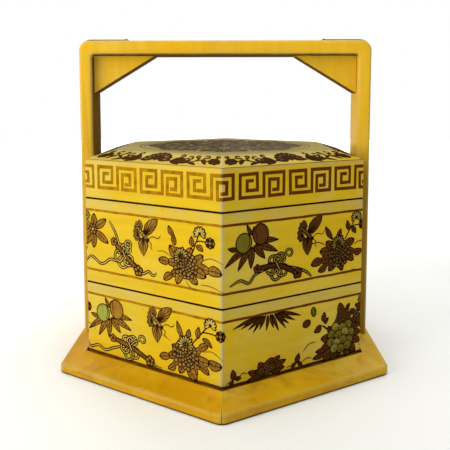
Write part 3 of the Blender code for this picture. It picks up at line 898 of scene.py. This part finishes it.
def tied_scroll(start, end, knot, tails, curl):
    """A rolled scroll tied with a looped ribbon. The tails are lists of points."""
    shapes = []
    for tail in tails:
        shapes += ribbon([knot, *tail], 2.6)
    loops = ((140, 10.5), (205, 12.0), (258, 13.5), (310, 12.5), (60, 10.5), (95, 8))
    for index, (direction, reach) in enumerate(loops):
        left, right = (knot + polar(reach * 0.74, direction + lean) for lean in (36, -36))
        loop = [knot, left, knot + polar(reach, direction), right, knot]
        shapes += ribbon(loop, 2.7, 2 * (index % 2))
    for ink, level, width in (("dark", 4, 5.2), ("brown", 5, 2.2), ("dark", 6, 0.7)):
        shapes += brush(ink, level, [start, knot + (0.5-1j), end], width, 0.9, 0.9)
    for at, size in ((start, 3.6), (end, 4.7)):
        for i in range(5):
            spot = at + polar(size * 0.62, 72 * i + 20)
            shapes += disc("dark", 7, spot, size * 0.60, count=10)
            shapes += disc("brown", 8, spot, size * 0.30, count=8)
        shapes += disc("dark", 9, at, size * 0.34)
    shapes += ribbon([knot + (-2+3j), knot - 1j, knot + (2-4.5j)], 3.0, 8)
    around = [curl + polar(4.2 - 0.35 * i, 200 - 60 * i) for i in range(7)]
    return shapes + ribbon([knot, knot + (5+5j), *around], 2.3, 4)


def grass(*blades, width=1.1):
    """Fine curved blades, each through its own points."""
    return [shape for points in blades for shape in brush("brown", 0, points, width, 0.2, 0.1)]


def bamboo_fan(centre, tips):
    """Long narrow leaves that hang from one point."""
    shapes = []
    for i, tip in enumerate(tips):
        base = centre + complex((tip - centre).real * 0.34, (tip - centre).imag * 0.06)
        shapes += leaf(base, tip, 2.7, 0.3 * (i % 3 - 1), "brown", 2 * (i % 2), 0, 1.6)
    return shapes


def seed_insect(centre, radius_x, radius_y, turn, ink):
    """A small striped oval beetle."""
    shapes = outlined_disc(ink, 2, centre, radius_x, radius_y, turn)
    half = polar(radius_x * 0.75, turn)
    for shift in (-0.45, 0.0, 0.45):
        middle = centre + polar(radius_y * shift, turn + 90)
        shapes += band("dark", 4, [middle - half, middle + half], [0.3, 0.3])
    return shapes


def peony():
    """A pale peony below a darker blossom, in a bush of broad leaves."""
    shapes = leaves((
        (3+22j, -2+33j, 8.5), (7+23j, 10+31j, 4.5), (10+20j, 17+24j, 5.5), (12+12j, 20+16j, 6),
        (12+6j, 24+9j, 6.5), (13+1j, 25+1j, 6.5), (12-4j, 24-8j, 7.5), (9-9j, 18-17j, 7.5),
        (-9+3j, -23+3j, 8.5), (-9-1j, -22-6j, 8), (-11-8j, -20-19j, 9), (-7-10j, -10-20j, 8),
        (-15-9j, -32-14j, 6), (-14-6j, -29-8j, 5), (-2-11j, -3-19j, 5), (4-11j, 6-19j, 5),
        (9-11j, 12-18j, 4.5), (-9+7j, -15+13j, 6),
    ), 0.8)
    above = 3+17j
    shapes += fill("dark", 5, scalloped(above, 10.5, 9, 0.14))
    shapes += fill("brown", 6, scalloped(above, 9.6, 9, 0.14))
    for ring in (7.0, 4.4, 2.0):
        circle = [above + polar(ring * (1 + 0.12 * math.sin(3.1 * i)), 30 * i) for i in range(13)]
        shapes += band("dark", 7, circle, [0.55] * 13)
    shapes += fill("dark", 8, scalloped(0, 14.5, 9, 0.12))
    petal_rows = (
        (10.5, (-6.5, 1.5, 9)), (4.0, (-11, -3, 5, 12)),
        (-3.0, (-12, -5, 2.5, 10)), (-9.5, (-8, 0, 8)),
    )
    for row, (rise, places) in enumerate(petal_rows):
        for i, across in enumerate(places):
            at = complex(across, rise + 0.8 * (-1) ** i)
            turn, level = 50 * across, 9 + 3 * row + i % 2
            shapes += fill("dark", level, scalloped(at, 5.3, 7, 0.12, turn))
            shapes += fill("green" if (i + row) % 3 else "pale", level + 2, scalloped(at, 4.3, 7, 0.16, turn))
            for lean in (-35, 0, 35):
                rib = polar(1.0, 270 + lean - 6 * across)
                shapes += band("dark", level + 3, [at + 0.6 * rib, at + 3.4 * rib], [0.16, 0.32])
    return shapes


def lotus():
    """A low clump of lobed leaves and curled petals, seen from the side."""
    shapes = leaves((
        (-6-2j, -19+2j, 6), (-6-4j, -21-6j, 6), (-2-1j, -8+7j, 8), (2, 6+8j, 8),
        (4-1j, 14+7.5j, 6.5), (5-3j, 20+2j, 6), (4-5j, 18-4j, 6.5), (-1-4j, -12+1j, 7),
    ), 0.9)
    for at, size in ((-6-1j, 3.4), (5-0.5j, 3.4), (-0.5+2.5j, 3.2), (-3.5j, 3.2)):
        shapes += outlined_disc("petal", 5, at, size) + disc("dark", 7, at, size * 0.60)
        shapes += disc("petal", 8, at, size * 0.34)
    return shapes


def vine():
    """Scrolling vine for one shoulder of the lid: a large blossom between two stems, centred on x = 0."""
    shapes = []
    for i in range(9):
        spoke = polar(1.0, -8 + 24.5 * i)

        def at(across, up):
            return complex(across * spoke.real, 10 + up * spoke.imag)

        tip = at(17, 15 if spoke.imag > 0 else 8)
        shapes += leaf(at(3, 2), tip, 9.5, 0.4, "vine", 2 * (i % 2), 0, 0.6)
        shapes += band("pale", 5, [at(9, 8), at(13.5, 11.5)], [0.30, 0.15])
    shapes += fill("dark", 6, scalloped(11j, 5.0, 6, 0.2)) + fill("vine", 7, scalloped(11j, 4.2, 6, 0.2))
    half = brush("vine", 0, (12+6j, 22+8j, 32+4j, 42+8j, 52+13j, 60+10j, 64+9j), 2.3, 0.9, 0.8)
    for base, tip, width in (
        (19+8j, 32+14j, 7), (19+6j, 35+7j, 6.5), (20+5j, 30+1j, 5),
        (33+5j, 40+11j, 4.5), (38+6j, 47+2j, 4), (52+12j, 57+4j, 4),
    ):
        half += leaf(base, tip, width, 1.0, "vine", 1, 0, 0.7)
    for root, at_curl, radius, turn, step in (
        (23+9j, 27+20j, 3.4, 250, 62), (31+5j, 37.5+17j, 4.4, 215, 62), (45+9j, 47+19.5j, 3.2, 300, -62),
        (54+12j, 57+20j, 3.8, 230, 62), (66+14j, 70.5+20.5j, 2.6, 250, -62),
    ):
        spiral = [at_curl + polar(radius * (1 - 0.12 * i), turn + step * i) for i in range(6)]
        half += brush("vine", 1, [root, *spiral], 2.6, 0.8, 0.9)
    for i in range(7):
        tip = 66+11j + polar(6.8, 360 / 7 * i + 20)
        half += leaf(66+11j, tip, 6.0, 0.3, "vine", 3 + i % 2, 0, 0.6)
    return shapes + half + place(half, flip=True)


def blossom(centre, radius, petals, level, turn=0.0):
    """A round dark blossom with pale veins."""
    shapes = []
    for ring, reach in enumerate((radius, radius * 0.62)):
        for i in range(petals):
            spoke = polar(reach, turn + 360 * (i + ring / 2) / petals)
            layer = level + 3 * ring
            tip = centre + spoke
            shapes += leaf(centre + spoke * 0.25, tip, reach * 0.62, 0.0, "medal", layer + i % 2, 0, 0.7)
            shapes += band("pale", layer + 3, [centre + spoke * 0.5, centre + spoke * 0.85], [0.35, 0.15])
    return shapes + outlined_disc("pale", level + 8, centre, radius * 0.12)


def medallion():
    """Round medallion on the lid: a large blossom, a wreath of eight more, leaves, tendrils and rings."""
    shapes = []
    for radius, width in ((88.7, 1.4), (84.5, 0.9)):
        shapes += band("medal", 0, [polar(radius, 3.75 * i) for i in range(97)], [width / 2] * 97)
    shapes += blossom(0, 34, 10, 6)
    for angle in range(0, 360, 45):
        shapes += blossom(polar(60, angle), 22.5, 8, 4, angle)
        for sway in (-1, 1):
            side = angle + 22.5
            for near, far, width in ((30, 49, 9), (62, 80, 8.5)):
                base, tip = polar(near, side + 2 * sway), polar(far, side + 9 * sway)
                shapes += leaf(base, tip, width, sway, "medal", 2, 3)
            bends = ((48, 0), (60, 3), (72, 1), (81, 3))
            tendril = [polar(reach, side + lean * sway) for reach, lean in bends]
            shapes += brush("medal", 0, tendril, 2.0, 0.8, 0.5)
            turns = [polar(3.4 - 0.3 * k, angle + sway * (100 + 60 * k)) for k in range(7)]
            curl = [polar(79, angle + 4 * sway) + p for p in turns]
            shapes += brush("medal", 3, curl, 1.6, 0.8, 0.9)
    return shapes


def leaf_whorl(centre, tips):
    """A starry whorl of leaves with a knot of buds at its heart."""
    shapes = []
    for i, tip in enumerate(tips):
        base = centre + (tip - centre) * 0.15
        shapes += leaf(base, tip, 7.4, 0.4 * (i % 3 - 1), "brown", 2 * (i % 2), 3, 0.8)
    for i in range(6):
        shapes += outlined_disc("brown", 5, centre + polar(3.4, 60 * i), 1.7)
    return shapes + outlined_disc("pale", 7, centre, 1.8)


def leafy_bush(centre, tips, seed):
    """Rounded leaves round a flower. A far tip gets a second leaf between it and the flower."""
    pick = random.Random(seed)
    shapes = []
    for tip in tips:
        for span in [(0.34, 1.0)] if abs(tip - centre) < 24 else [(0.60, 1.0), (0.25, 0.68)]:
            base, end = (centre + (tip - centre) * share for share in span)
            width = min(max(0.60 * abs(end - base), 6.2), 9.6)
            shapes += leaf(base, end, width, pick.uniform(-1.2, 1.2), "brown", 2 * pick.randrange(2), 2, 0.65)
    return shapes


def flower_stem(root, pale_at, dark_at, stem_leaves):
    """A forked stem with a pale flower, a dark one and a few leaves."""
    fork = (root + pale_at) / 2
    shapes = brush("dark", 0, [root, fork, pale_at], 1.3, 0.9, 0.5)
    shapes += brush("dark", 0, [fork, fork + (4+1.5j), dark_at], 1.2, 0.8, 0.5)
    for base, tip in stem_leaves:
        shapes += leaf(base, tip, 5.0, 0.5)
    shapes += small_flower(pale_at - 1.5j, 6.2, -25, 262)
    for i in range(8):
        shapes += outlined_disc("dark" if i % 2 else "petal", 2, dark_at + polar(3.2, 45 * i), 1.3)
    return shapes + outlined_disc("brown", 4, dark_at, 1.8)


def chrysanthemum_bush(centre, radius, crown_turn, seed, tips, root, pale_at, dark_at, stem_leaves):
    shapes = leafy_bush(centre, tips, seed) + flower_stem(root, pale_at, dark_at, stem_leaves)
    return shapes + chrysanthemum(centre, radius, crown_turn, seed)


def rosette_wall():
    """Leaf whorl, tied scroll, butterfly and chrysanthemum."""
    shapes = leaf_whorl(8.7+51.4j, (25.2+62j, 27.5+39.9j, 9.5+33.6j, 10.3+66j, -7+60j, -7+42j, 36j))
    shapes += small_flower(0.7+64j, 4.6) + small_flower(-5.5+50.5j, 4.0)
    tails = (
        (40.4+41j, 35.9+51.4j, 29+61.3j), (38.9+25j, 29.8+25.5j, 18.9+19.5j, 6.3+25.3j, -0.9+19j),
        (60+24j, 67+17.5j, 74+20.5j, 79+17.5j, 83+20.5j),
    )
    shapes += tied_scroll(34.4+42.4j, 62.6+19.4j, 46.4+32.8j, tails, 51.6+41.6j)
    shapes += place(butterfly(), 66.9+53.8j)
    shapes += chrysanthemum_bush(
        113.9+31.8j, 12.5, 122, 11,
        (
            85.4+33.1j, 90.9+16.1j, 104.5+14.6j, 125.6+17.1j, 134.6+24.9j,
            149.7+29.3j, 131.5+42.6j, 120+48j, 97+47j,
        ),
        121+44j, 128.2+62.3j, 138.4+54j,
        ((121+49j, 120+57.5j), (125+50j, 131.5+46.5j), (103+48j, 101+58j), (101+56j, 96+64j)),
    )
    return shapes + grass(
        (83+40j, 91+41j, 99+37j), (129+37j, 139+41j, 152+37.5j),
        (128+17.5j, 139+17.5j, 152+13.8j), (127+12j, 118+14j, 114+20j),
    )


def peach_wall(peaches_at, butterfly_at, scroll, bush):
    """Peaches, tied scroll, butterfly and chrysanthemum."""
    shapes = place(peach_spray(), peaches_at) + tied_scroll(*scroll) + place(butterfly(), butterfly_at)
    blades = grass((-32+12j, -24+13j, -15+9j), (16+6j, 27+9j, 38+3j), (14-17j, 25-19j, 37-22j))
    return shapes + chrysanthemum_bush(*bush) + place(blades, bush[0])


def low_peach_wall():
    tails = ((34+22.6j, 22.1+17.5j, 12.7+20.3j, 3.1+17.2j, 22j), (66+22j, 76+20j, 81+15.5j, 88+15.2j))
    scroll = (31.3+31j, 74.5+19j, 52+28j, tails, 66+36.5j)
    return peach_wall(28+51j, 81.2+57.9j, scroll, (
        113.2+33.2j, 13.5, 88, 12,
        (85.4+26.1j, 95+17j, 107.2+16j, 125+17.5j, 137.2+22j, 149.7+31.3j, 136+47j, 99+40j, 124.3+12.8j),
        121+46j, 138.4+66.2j, 148.3+57j,
        ((110+48j, 104.5+62j), (126+51j, 127+61j), (131+52j, 140+46j), (117+50j, 117+57j)),
    ))


def high_peach_wall():
    tails = ((33+25.5j, 25.6+18.5j, 17+21.8j, 7+18j), (78+23j, 86+19j, 91+14.5j))
    scroll = (33.8+29.5j, 75.5+20j, 54.5+30.5j, tails, 66.5+39j)
    return peach_wall(29+51j, 84.5+54.3j, scroll, (
        122.3+31.5j, 13.0, 98, 13,
        (90.4+24.7j, 98.6+17.6j, 110.4+16.5j, 126+14.8j, 139.9+23.3j, 150+31j, 140+43j, 100+36j, 107+44j),
        129+44j, 142.5+64.5j, 150+56j,
        ((114+46j, 106+58j), (134+52j, 131.5+61j), (137+54j, 142+48.5j), (122+46j, 124+54j)),
    ))


def peony_wall():
    """Hanging bamboo, two beetles, a lotus and a peony bush."""
    shapes = bamboo_fan(45.5+68.6j, (
        10.5+61.8j, 18.3+60.6j, 25.2+58.5j, 30.2+55.2j, 36.3+56.8j, 43.4+54.8j,
        50.7+55.5j, 55.9+52j, 63.3+53j, 66.6+56.5j, 73+58.2j, 79.6+61.2j,
    ))
    shapes += seed_insect(94+61.5j, 2.6, 4.2, 10, "green") + seed_insect(86.3+52j, 4.2, 3.2, 15, "brown")
    shapes += place(peony(), 125.8+31.4j) + brush("dark", 0, (113+38j, 110.4+42j, 104+47j), 1.8, 0.9, 0.6)
    for base, tip, width in ((106+50j, 106.5+59j, 5.5), (103+47j, 95+42j, 6.5), (107+48j, 111+53j, 4)):
        shapes += leaf(base, tip, width, 0.6)
    bud = leaf(-3j, 0.5+6j, 5.4) + leaf(-1-3j, -4.5-7j, 3.8) + leaf(1.5-2.5j, 7-4j, 3.8)
    shapes += place(lotus(), 44+20.6j, 4) + place(bud, 10.5+20.8j, 10) + place(bud, 76+20.8j, -15)
    shapes += grass(
        (3+15j, 7+17j, 10+15.5j), (15+18j, 20+22j, 24+20j),
        (64+16j, 69+17j, 72+15j), (80+17j, 87+20j, 93+19j), width=1.0,
    )
    return shapes + grass((82.3+26.5j, 89+32.5j, 98+33j))


def painted_line(rise, width, ink="line", count=180):
    """A hand-drawn line right round the box, slightly uneven in height and width."""
    path, half_widths = [], []
    for i in (*range(count), 0):
        path.append(complex(6 * SIDE_MM * i / count, rise + 0.18 * math.sin(i * 0.9) * math.sin(i * 0.23)))
        half_widths.append(width / 2 * (1 + 0.12 * math.sin(i * 1.7) * math.sin(i * 0.31)))
    path[-1] += 6 * SIDE_MM
    return band(ink, 0, path, half_widths)


def key_fret():
    """The key pattern round the lid's rim, drawn by hand: a spiral in, its mate, and a spiral out."""
    line = (
        15+15.1j, 8.3+15.1j, 8.3+6.9j, 18.4+6.9j, 18.4+20.6j, 1.9+20.6j, 1.9+1.4j, 25+1.4j,
        25+20.6j, 45.3+20.6j, 45.3+1.4j, 30.4+1.4j, 30.4+15j, 39.2+15j, 39.2+6.1j, 33+6.1j,
    )
    shapes = []
    for repeat in range(round(6 * SIDE_MM / FRET_PERIOD)):
        corner = complex(FRET_PERIOD * repeat - FRET_START, FRET_BOTTOM)
        path = [corner + p + complex(rng.uniform(-0.2, 0.2), rng.uniform(-0.25, 0.25)) for p in line]
        shapes += ruled("line", 0, path, FRET_STROKE * rng.uniform(0.94, 1.06))
    return shapes


# ---------------------------------------------------------------------------
# Wrapping the artwork on the box
# ---------------------------------------------------------------------------


def wall_map(seat):
    """Where (run round the box, rise, height off the lacquer), all in millimetres, lies above a seat."""
    straight = (TRAY_APOTHEM - CORNER_ROUND) * math.tan(HALF_ANGLE)
    past_straight = CORNER_ROUND * math.tan(HALF_ANGLE)

    def put(run, rise, proud):
        side = math.floor(run / SIDE_MM)
        across = (run - (side + 0.5) * SIDE_MM) * MM
        turn = max(abs(across) - straight, 0.0) / past_straight * HALF_ANGLE
        radius = CORNER_ROUND + proud * MM
        x = TRAY_APOTHEM - CORNER_ROUND + radius * math.cos(turn)
        y = math.copysign(min(abs(across), straight) + radius * math.sin(turn), across)
        flat = Matrix.Rotation(side * 2 * HALF_ANGLE, 2) @ Vector((x, y))
        return (flat.x, flat.y, seat + rise * MM)

    return put


def shoulder_map():
    """The same for the lid's shoulder, where the rise runs up the slope."""
    run_in, climb = TRAY_APOTHEM - PLATEAU_APOTHEM, PLATEAU_Z - RIM_TOP
    slope = math.hypot(run_in, climb)

    def put(run, rise, proud):
        side = math.floor(run / SIDE_MM)
        across = (run - (side + 0.5) * SIDE_MM) * MM
        apothem = TRAY_APOTHEM - run_in * rise * MM / slope
        x = apothem + proud * MM * climb / slope
        flat = Matrix.Rotation(side * 2 * HALF_ANGLE, 2) @ Vector((x, across * apothem / TRAY_APOTHEM))
        return (flat.x, flat.y, RIM_TOP + rise * MM * climb / slope + proud * MM * run_in / slope)

    return put


def plateau_map(x, y, proud):
    return (x * MM, y * MM, PLATEAU_Z + proud * MM)


def add_artwork(name, shapes, put, body, folded=True):
    """Makes one piece of thin raised paint for each ink, bent round the corners of the box."""
    for ink, material in INKS.items():
        chosen = [item for item in shapes if item[0] == ink]
        if not chosen:
            continue
        paint = bmesh.new()
        for _, level, points, faces in chosen:
            high = PAINT_HEIGHT + PAINT_STEP * level
            top, low = ([paint.verts.new((p.real, p.imag, z)) for p in points] for z in (high, -PAINT_SUNK))
            edges = {(a, b) for face in faces for a, b in zip(face, (*face[1:], face[0]))}
            for face in faces:
                paint.faces.new([top[i] for i in face])
                paint.faces.new([low[i] for i in reversed(face)])
            for a, b in edges:
                if (b, a) not in edges:
                    paint.faces.new((top[b], top[a], low[a], low[b]))
        if folded:
            bend = CORNER_ROUND / MM * math.tan(HALF_ANGLE)
            for corner in range(-1, 8):
                for share in (-1.0, -0.5, 0.0, 0.5, 1.0):
                    whole = paint.verts[:] + paint.edges[:] + paint.faces[:]
                    fold = (corner * SIDE_MM + share * bend, 0, 0)
                    bmesh.ops.bisect_plane(paint, geom=whole, dist=1e-5, plane_co=fold, plane_no=(1, 0, 0))
        for vert in paint.verts:
            vert.co = put(*vert.co)
        mesh = finish_mesh(f"{name}_{ink}", paint, 30)
        add_piece(f"{name}_{ink}", mesh, material, body)


def add_tray_artwork():
    """Border lines and the painted walls of both trays."""
    rosette, low, high, flowers = rosette_wall, low_peach_wall, high_peach_wall, peony_wall
    for name, seat, low_line, gardens in (
        ("lower_tray", LOWER_SEAT, (FOOT_LINE, 2.6, "foot"), (rosette, low, flowers, high, low, flowers)),
        ("upper_tray", UPPER_SEAT, (BORDER_LOW, BORDER_WIDTH), (high, rosette, high, flowers, rosette, high)),
    ):
        shapes = painted_line(BORDER_HIGH, BORDER_WIDTH) + painted_line(*low_line)
        for index, garden in enumerate(gardens):
            shapes += place(garden(), index * SIDE_MM)
        add_artwork(f"{name}_paint", shapes, wall_map(seat), name)


def add_lid_artwork():
    """Key fret round the rim, vines on the shoulders and the medallion on top."""
    add_artwork("lid_fret", key_fret(), wall_map(LID_SEAT), "lid")
    shapes = []
    for index in range(6):
        middle = (index + 0.5) * SIDE_MM
        shapes += place(vine(), middle + 2j)
        shapes += band("line", 0, [middle - 75 + 0.9j, middle + 75 + 0.9j], [0.55, 0.55])
    add_artwork("lid_vine", shapes, shoulder_map(), "lid")
    add_artwork("lid_medallion", medallion(), plateau_map, "lid", False)


# ---------------------------------------------------------------------------
# Stage, light and camera
# ---------------------------------------------------------------------------


def add_stage():
    """A wide pale floor."""
    shape = bmesh.new()
    bmesh.ops.create_circle(shape, cap_ends=True, segments=96, radius=3.4)
    mesh = bpy.data.meshes.new("studio_floor")
    shape.to_mesh(mesh)
    shape.free()
    mesh.materials.append(floor_finish())
    floor = bpy.data.objects.new("studio_floor", mesh)
    bpy.context.scene.collection.objects.link(floor)


def add_softbox(name, place, target, size, power, colour=(1.0, 1.0, 1.0)):
    """A rectangular area light aimed at a point."""
    data = bpy.data.lights.new(name, "AREA")
    data.shape = "RECTANGLE"
    data.size, data.size_y = size
    data.energy = power
    data.color = colour
    lamp = bpy.data.objects.new(name, data)
    lamp.location = place
    lamp.rotation_euler = (Vector(target) - Vector(place)).to_track_quat("-Z", "Y").to_euler()
    bpy.context.scene.collection.objects.link(lamp)


def add_surround():
    """A white backdrop whose light fades from the window side on the left to the dim room on the right."""
    world = bpy.data.worlds.new("studio_world")
    world.use_nodes = True
    nodes, links = world.node_tree.nodes, world.node_tree.links
    direction = nodes.new("ShaderNodeSeparateXYZ")
    links.new(nodes.new("ShaderNodeTexCoord").outputs["Generated"], direction.inputs[0])
    fade = nodes.new("ShaderNodeMapRange")
    limits = {"From Min": -1.0, "From Max": 1.0, "To Min": WORLD_LEFT, "To Max": WORLD_RIGHT}
    for socket, number in limits.items():
        fade.inputs[socket].default_value = number
    links.new(direction.outputs["X"], fade.inputs["Value"])
    room, backdrop = nodes["Background"], nodes.new("ShaderNodeBackground")
    room.inputs["Color"].default_value = (0.94, 1.0, 0.93, 1.0)
    links.new(fade.outputs["Result"], room.inputs["Strength"])
    backdrop.inputs["Color"].default_value = (1.0, 1.0, 1.0, 1.0)
    seen = nodes.new("ShaderNodeMixShader")
    links.new(nodes.new("ShaderNodeLightPath").outputs["Is Camera Ray"], seen.inputs[0])
    links.new(room.outputs[0], seen.inputs[1])
    links.new(backdrop.outputs[0], seen.inputs[2])
    links.new(seen.outputs[0], nodes["World Output"].inputs["Surface"])
    bpy.context.scene.world = world


def add_lights():
    """A large warm window-like softbox on the left and a soft light overhead."""
    add_softbox("key_softbox", (-1.25, -0.70, 0.60), (0, 0, 0.15), (1.0, 1.0), 14.6, (1.0, 0.97, 0.91))
    add_softbox("top_softbox", (0.35, -0.35, 1.8), (0.05, 0, 0.1), (1.6, 1.6), 19)
    add_softbox("backdrop_light", (0.0, 2.3, 2.1), (0.0, 2.2, 0.0), (4.5, 2.6), 75)
    add_surround()


def add_camera():
    """A short telephoto view a little above the lid, aimed at the carrier's axis."""
    data = bpy.data.cameras.new("studio_camera")
    data.sensor_width = 36.0
    data.lens = 45.74
    data.shift_y = -0.16
    camera = bpy.data.objects.new("studio_camera", data)
    camera.location = (0.0091, -0.6044, 0.2531)
    pitch = math.radians(5.08)
    yaw = math.radians(0.86)
    camera.rotation_euler = (math.pi / 2 - pitch, 0.0, yaw)
    bpy.context.scene.collection.objects.link(camera)
    bpy.context.scene.camera = camera


bpy.context.scene.view_settings.view_transform = "Standard"
add_camera()
add_lights()
add_stage()
add_base()
add_tray("lower_tray", LOWER_SEAT)
add_tray("upper_tray", UPPER_SEAT)
add_lid()
add_frame()
add_tray_artwork()
add_lid_artwork()
